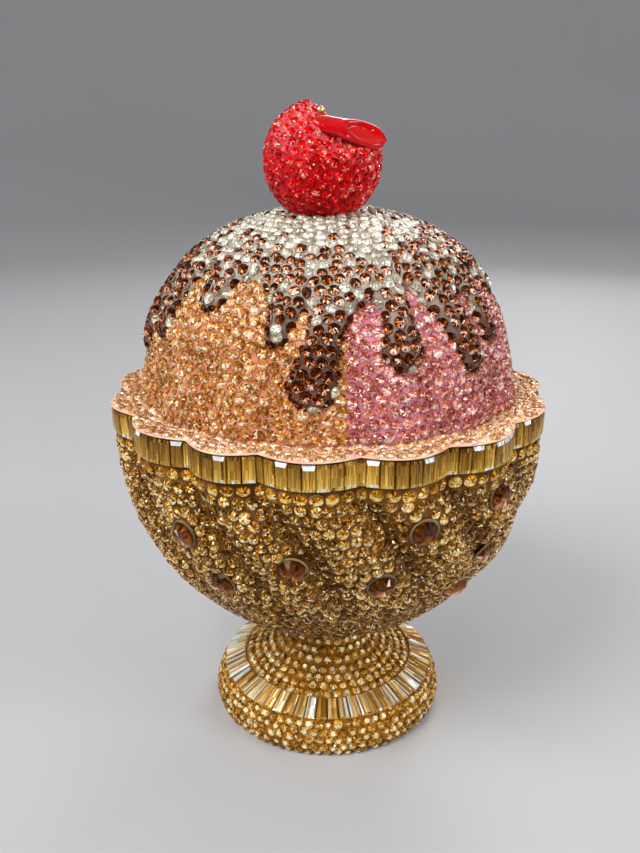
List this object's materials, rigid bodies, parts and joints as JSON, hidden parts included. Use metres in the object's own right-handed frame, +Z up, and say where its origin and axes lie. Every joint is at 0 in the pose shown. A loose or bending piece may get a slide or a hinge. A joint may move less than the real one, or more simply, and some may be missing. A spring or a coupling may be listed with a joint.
{
  "type": "jewelled ice cream sundae ornament",
  "caption": "Jewelled sundae ornament: footed swirled cup, scalloped rim with a baguette belt, orange and pink fluted dome, brown sauce drips, and a cherry with an enamelled stem.",
  "frame": {"origin": "middle of the foot's underside, on the surface that it stands on", "axes": "+Z up, from the foot to the cherry; -Y is the front, with the orange half at -X and the pink half at +X"},
  "size_m": [0.1261, 0.1255, 0.183],
  "materials": {
    "foot_stones": "pale gold stones in honey resin",
    "foot_baguettes": "clear faceted",
    "cup_stones": "topaz stones in brown resin",
    "cup_gems": "clear faceted",
    "rim_beads": "clear faceted",
    "rim_baguettes": "clear faceted",
    "plate_stones": "peach stones in pale resin",
    "orange_stones": "peach stones in salmon resin",
    "pink_stones": "rose stones in pink resin",
    "sauce_stones": "dark brown and clear stones in grey resin",
    "cherry_stones": "red stones in red resin",
    "stem_enamel": "glossy enamel",
    "gilt": "polished gilt"
  },
  "bodies": {
    "root": {"foot": "foot_stones", "foot_baguettes": "foot_baguettes", "cup": "cup_stones", "cup_gem_01": "cup_gems", "cup_gem_02": "cup_gems", "cup_gem_03": "cup_gems", "cup_gem_04": "cup_gems", "cup_gem_05": "cup_gems", "cup_gem_06": "cup_gems", "cup_gem_07": "cup_gems", "cup_gem_08": "cup_gems", "cup_gem_09": "cup_gems", "cup_gem_10": "cup_gems", "cup_gem_11": "cup_gems", "cup_gem_12": "cup_gems", "cup_gem_13": "cup_gems", "cup_gem_14": "cup_gems", "cup_gem_15": "cup_gems", "cup_gem_16": "cup_gems", "cup_gem_17": "cup_gems", "cup_gem_18": "cup_gems", "cup_gem_19": "cup_gems", "cup_gem_20": "cup_gems", "cup_gem_21": "cup_gems", "cup_gem_22": "cup_gems", "cup_gem_23": "cup_gems", "cup_gem_24": "cup_gems", "rim_bead_row": "rim_beads", "rim_baguettes": "rim_baguettes", "rim_plate": "plate_stones", "ice_cream_orange": "orange_stones", "ice_cream_pink": "pink_stones", "chocolate_sauce": "sauce_stones", "cherry": "cherry_stones", "cherry_stem": "stem_enamel", "stem_tip": "gilt"}
  },
  "joints": []
}
